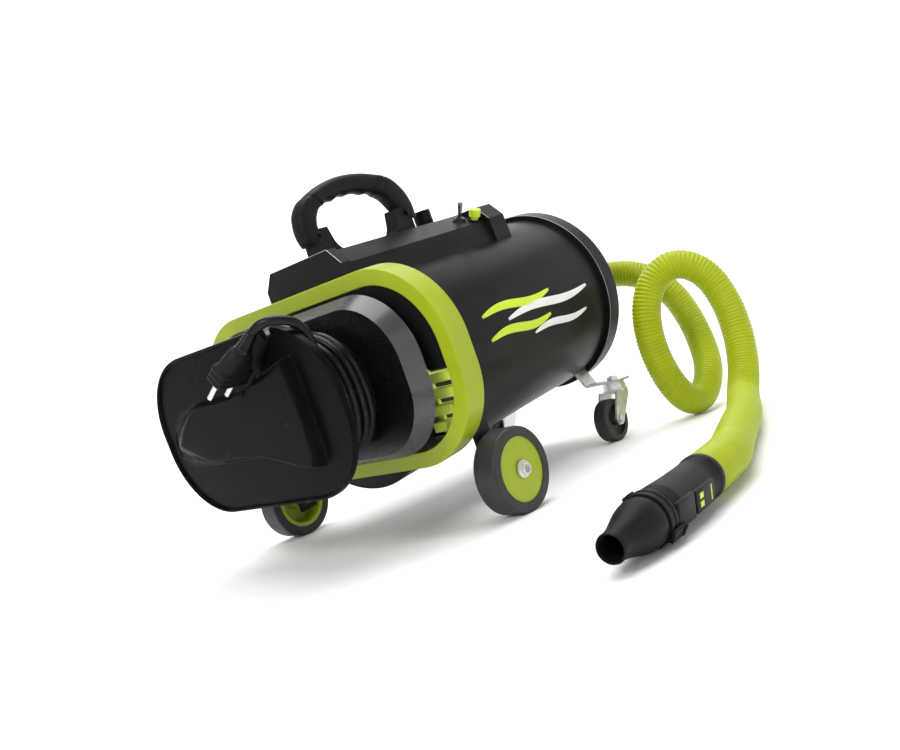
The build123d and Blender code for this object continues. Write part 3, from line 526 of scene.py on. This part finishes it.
COVER_HALF = (135.5, 77.6)
COVER_CORNER = 69.6
COVER_Z = 155.5
COVER_FACE_Y = -95.0
COVER_BACK_Y = -92.0
RIM_BEAD = 3.0
RIM_BEAD_HALF = 1.7
BOSS_RISE = 11.5
NOTCH_X = 73.5
NOTCH_HALF = 6.5
NOTCH_FLOOR_Z = 223.5
BOSS = (
    (92, 206), (66, 200), (46, 195), (25, 190), (3, 187.5), (-36, 188), (-66, 189), (-95, 184), (-118, 171),
    (-127, 154), (-123, 137), (-102, 127), (-60, 126), (-15, 125), (16, 123), (43, 115), (63, 108),
    (86, 106), (92, 122), (93.5, 150), (93.5, 190),
)


def boss_depth(x, z):
    """Distance inside the boss outline, 0 outside it."""
    inside, nearest = False, 1e9
    for (ax, az), (bx, bz) in zip(BOSS, BOSS[1:] + BOSS[:1]):
        if (az > z) != (bz > z) and x < (bx - ax) * (z - az) / (bz - az) + ax:
            inside = not inside
        dx, dz = bx - ax, bz - az
        t = min(1, max(0, ((x - ax) * dx + (z - az) * dz) / (dx * dx + dz * dz)))
        nearest = min(nearest, math.hypot(x - ax - t * dx, z - az - t * dz))
    return nearest if inside else 0.0


def rim_depth(x, z):
    """Distance inside the cover's rounded outline."""
    qx = abs(x) - COVER_HALF[0] + COVER_CORNER
    qz = abs(z - COVER_Z) - COVER_HALF[1] + COVER_CORNER
    return COVER_CORNER - math.hypot(max(qx, 0), max(qz, 0)) - min(max(qx, qz), 0)


def ease(t):
    """A smooth step from 0 to 1."""
    t = min(1, max(0, t))
    return t * t * (3 - 2 * t)


def cover_y(x, z):
    """Front face: a bead round the rim and the boss, steep on the right and long on the left."""
    edge = rim_depth(x, z)
    rim = RIM_BEAD * max(0.0, 1 - ((edge - RIM_BEAD_HALF) / RIM_BEAD_HALF) ** 4) ** 0.5
    slope = 5.5 + 24.0 * ease((-50 - x) / 60) - 1.0 * ease((x - 60) / 20)
    return COVER_FACE_Y - max(rim, BOSS_RISE * ease(boss_depth(x, z) / slope))


def cover_outline(count=288):
    """Points round the cover, with the notch that the cord crosses."""
    out = []
    for k in range(count):
        a = 2 * math.pi * k / count
        low, high = 0.0, 200.0
        for _ in range(30):
            r = (low + high) / 2
            if rim_depth(r * math.cos(a), COVER_Z + r * math.sin(a)) > 0:
                low = r
            else:
                high = r
        x, z = low * math.cos(a), COVER_Z + low * math.sin(a)
        if abs(x - NOTCH_X) < NOTCH_HALF:
            z = min(z, NOTCH_FLOOR_Z)
        out.append((x, z))
    return out


outline = cover_outline()
# rings from the middle outwards, closer together at the rim
front_shares = [0.001] + [i / 100 for i in range(4, 94)]
front_shares += [0.945, 0.955, 0.963, 0.97, 0.976, 0.982, 0.988, 0.994, 1.0]
cover_rings = []
for share in front_shares:
    ring = []
    for x, z in outline:
        px, pz = x * share, COVER_Z + (z - COVER_Z) * share
        ring.append(at(px, cover_y(px, pz), pz))
    cover_rings.append(ring)
for share in (1.0, 0.97, 0.5, 0.001):
    cover_rings.append([at(x * share, COVER_BACK_Y, COVER_Z + (z - COVER_Z) * share) for x, z in outline])
cover = add("cover_moulding", skin(cover_rings), "dryer", M["gloss_black"])
cover.data.set_sharp_from_angle(angle=math.radians(50))
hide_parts("front_cover")


# ---- handset ----

aim = (NOZZLE_TIP - GRIP_REAR).normalized()
hand_x = Vector((-aim.y, aim.x, 0)).normalized()
hand_y = aim.cross(hand_x)


def in_hand(x, y, z):
    """Frame point of a handset point: z runs from the hose end to the nozzle's mouth."""
    return (GRIP_REAR + hand_x * x + hand_y * y + aim * z) * MM


def lathe(name, profile, body, replaced, sides=72):
    """A turned piece of the handset from a closed profile of (distance, radius)."""
    turns = [2 * math.pi * k / sides for k in range(sides)]
    rings = [[in_hand(r * math.cos(a), r * math.sin(a), z) for a in turns] for z, r in profile]
    obj = add(name, skin(rings, loop=True), body, M["black_plastic"])
    obj.data.set_sharp_from_angle(angle=math.radians(35))
    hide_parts(replaced)
    return obj


def block(name, low, high, paint, edge, place):
    """A box with rounded edges on the handset, in a turned frame."""
    bm = bmesh.new()
    bmesh.ops.create_cube(bm, size=1.0)
    for v in bm.verts:
        v.co = Vector([(lo + hi) / 2 + (hi - lo) * c for lo, hi, c in zip(low, high, v.co)])
    bmesh.ops.bevel(bm, geom=bm.edges[:], offset=edge, segments=4, affect="EDGES", profile=0.5)
    for v in bm.verts:
        v.co = place(*v.co)
    bmesh.ops.recalc_face_normals(bm, faces=bm.faces)
    mesh = bpy.data.meshes.new(name)
    bm.to_mesh(mesh)
    bm.free()
    obj = add(name, mesh, "dryer", M[paint])
    obj.data.set_sharp_from_angle(angle=math.radians(40))
    return obj


def turned(degrees):
    """The handset's frame turned about its own axis."""
    c, s = math.cos(math.radians(degrees)), math.sin(math.radians(degrees))
    return lambda x, y, z: in_hand(x * c - y * s, x * s + y * c, z)


PAD_ANGLE = -9.8
LUG_ANGLE = 118
RIBS = 4
grip_profile = [(0, 15.1), (0, 16.9), (0.8, 17.5), (2, 17.8), (6.5, 17.8), (7.6, 17.4), (8.6, 16.9),
                (24, 16.8), (48, 17.0), (64, 17.5)]
for i in range(RIBS):
    z = 74 + 3.2 * i
    grip_profile += [(z, 17.9), (z + 1.9, 17.9), (z + 2.2, 17.3), (z + 2.8, 17.3)]
grip_profile += [(87.2, 17.9), (88, 17.6), (88, 15.1)]
RING_PROFILE = (
    (88.1, 15.1), (88.1, 18.4), (88.8, 19.0), (91.4, 19.0), (92.1, 18.3), (94.6, 18.3), (95.3, 19.0),
    (98.2, 19.0), (98.9, 18.4), (98.9, 15.1),
)
NOZZLE_PROFILE = (
    (78.2, 13.2), (78.2, 14.6), (78.8, 14.9), (99.3, 14.9), (99.3, 17.2), (100, 17.7), (103, 17.9),
    (108, 17.7), (113, 16.9), (118, 15.7), (123, 14.2), (128, 12.8), (133, 11.5), (138, 10.6), (142, 10.2),
    (145.8, 10.3), (147, 9.9), (147.2, 9.3), (146.6, 8.8), (142, 8.4), (134, 8.9), (122, 11.4),
    (108, 13.4), (90, 13.4),
)
on_side = turned(PAD_ANGLE)
handset = [
    lathe("grip_moulding", grip_profile, "dryer", "hand_grip"),
    lathe("lock_ring_moulding", RING_PROFILE, "dryer", "lock_ring"),
    lathe("nozzle_moulding", NOZZLE_PROFILE, "nozzle", "nozzle"),
    block("ring_lug", (16.5, -3.6, 91.0), (20.2, 3.6, 98.0), "black_plastic", 0.8, turned(LUG_ANGLE)),
    block("grip_pad", (14.0, -8.0, 26.0), (18.9, 8.0, 57.5), "black_plastic", 1.2, on_side),
    block("grip_side_housing", (14.0, -9.5, 58.5), (18.6, 9.5, 87.0), "black_plastic", 2.0, on_side),
]
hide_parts("grip_badge")
for k, offset in enumerate((-3.0, 3.0)):
    handset.append(block(f"pad_mark_{k + 1}", (18.6, offset - 2.0, 46.0), (19.15, offset + 2.0, 52.0),
                         "lime_print", 0.25, on_side))
handset.append(block("pad_line", (18.6, -5.5, 31.0), (19.1, 5.5, 32.6), "lime_print", 0.2, on_side))


# ---- painted highlights along edges ----

CAP_EDGE_R = 111.6
CAP_EDGE_Y = 366.0


def edge_line(name, points, radius, cyclic=False):
    """A fine light grey line along an edge of the dryer, a painted highlight where the edge catches the
    light.
    """
    data = bpy.data.curves.new(name, "CURVE")
    data.dimensions = "3D"
    line = data.splines.new("POLY")
    line.points.add(len(points) - 1)
    for target, p in zip(line.points, points):
        target.co = (*p, 1.0)
    line.use_cyclic_u = cyclic
    data.bevel_depth = radius
    data.bevel_resolution = 2
    obj = bpy.data.objects.new(name, data)
    bpy.context.scene.collection.objects.link(obj)
    data.materials.append(M["bright_edge"])
    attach(obj, "dryer")


# painted highlights: a line round the rear cap's rim and lines along the console panels' upper edges
cap_turns = [2 * math.pi * k / 160 for k in range(160)]
edge_line("cap_rim_highlight_line", [at(CAP_EDGE_R * math.cos(a), CAP_EDGE_Y, BARREL_Z + CAP_EDGE_R * math.sin(a))
                            for a in cap_turns], 0.00035, cyclic=True)
for name, y in (("front_panel_highlight_line", 25.0), ("rear_panel_highlight_line", 262.0)):
    edge_line(name, [at(x, y, z) for x, z in ((-45, 281.5), (45, 281.5), (59, 265))], 0.0003)


# ---- toggle lever, square to the console's sloping face ----

SLOPE_DROP = 17.0 / 32.0
SWITCH = at(36, 239, 281 - 16 * SLOPE_DROP)
lever_up = along(SLOPE_DROP, 0, 1).normalized()
lever_side = lever_up.orthogonal().normalized()
lever_other = lever_up.cross(lever_side)
LEVER_PROFILE = (
    (0.8, 1.5), (4.0, 1.6), (5.6, 2.0), (12, 2.4), (18, 2.9), (20, 2.95), (21.1, 2.3), (21.6, 1.2),
    (21.6, 0.05),
)
lever_turns = [math.pi * k / 16 for k in range(32)]
lever_rings = [
    [SWITCH + (lever_up * height + (lever_side * math.cos(a) + lever_other * math.sin(a)) * radius) * MM
     for a in lever_turns]
    for height, radius in LEVER_PROFILE
]
lever = add("switch_lever", skin(lever_rings), "toggle", M["dark_chrome"])
lever.data.set_sharp_from_angle(angle=math.radians(40))
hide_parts("toggle_lever")


# ---- stage ----

# a flat floor that curves up into a wall all round
STAGE_R = 3.0
STAGE_CURVE = 1.6
WALL_TOP = 3.2
stage_profile = [(0.02, 0.0), (1.0, 0.0), (2.0, 0.0)]
stage_profile += [(STAGE_R + STAGE_CURVE * math.sin(a), STAGE_CURVE - STAGE_CURVE * math.cos(a))
                  for a in (math.pi / 2 * k / 24 for k in range(25))]
stage_profile.append((STAGE_R + STAGE_CURVE, WALL_TOP))
stage_turns = [math.pi * k / 48 for k in range(96)]
floor_mesh = skin([[Vector((r * math.cos(a), r * math.sin(a), z)) for a in stage_turns]
                   for r, z in stage_profile], closed_ends=False)
floor_mesh.materials.append(surface("pale_floor", (0.92, 0.92, 0.92), 0.7, mottle=0.01, mottle_scale=2,
                                    grain=40, grain_height=0.0001))
floor_mesh.shade_smooth()
hub = bmesh.new()
hub.from_mesh(floor_mesh)
hub.verts.ensure_lookup_table()
hub.faces.new([hub.verts[k] for k in range(len(stage_turns))])
bmesh.ops.recalc_face_normals(hub, faces=hub.faces)
hub.to_mesh(floor_mesh)
hub.free()
floor = bpy.data.objects.new("floor", floor_mesh)
bpy.context.scene.collection.objects.link(floor)

world = bpy.data.worlds.new("studio")
world.use_nodes = True
world.node_tree.nodes["Background"].inputs["Color"].default_value = (1, 1, 1, 1)
world.node_tree.nodes["Background"].inputs["Strength"].default_value = 0.26
bpy.context.scene.world = world
bpy.context.scene.view_settings.view_transform = "Standard"


def softbox(name, place, target, size, power):
    """A square area light aimed at a point."""
    data = bpy.data.lights.new(name, "AREA")
    data.size = size
    data.energy = power
    obj = bpy.data.objects.new(name, data)
    bpy.context.scene.collection.objects.link(obj)
    obj.location = place
    obj.rotation_mode = "QUATERNION"
    obj.rotation_quaternion = (Vector(target) - Vector(place)).to_track_quat("-Z", "Y")


softbox("overhead", (0.0, 0.5, 2.9), (0.0, 0.3, 0.0), 2.6, 96)
softbox("key", (0.2, -1.6, 1.2), (0, 0.0, 0.15), 0.8, 17)
softbox("side", (1.9, 0.3, 1.0), (0, 0.2, 0.15), 0.8, 3)
softbox("backdrop_left", (-2.6, 1.0, 2.7), (-4.2, 1.8, 0.5), 2.2, 70)
softbox("backdrop_right", (-0.4, 2.8, 2.7), (-0.8, 4.4, 0.5), 2.2, 70)
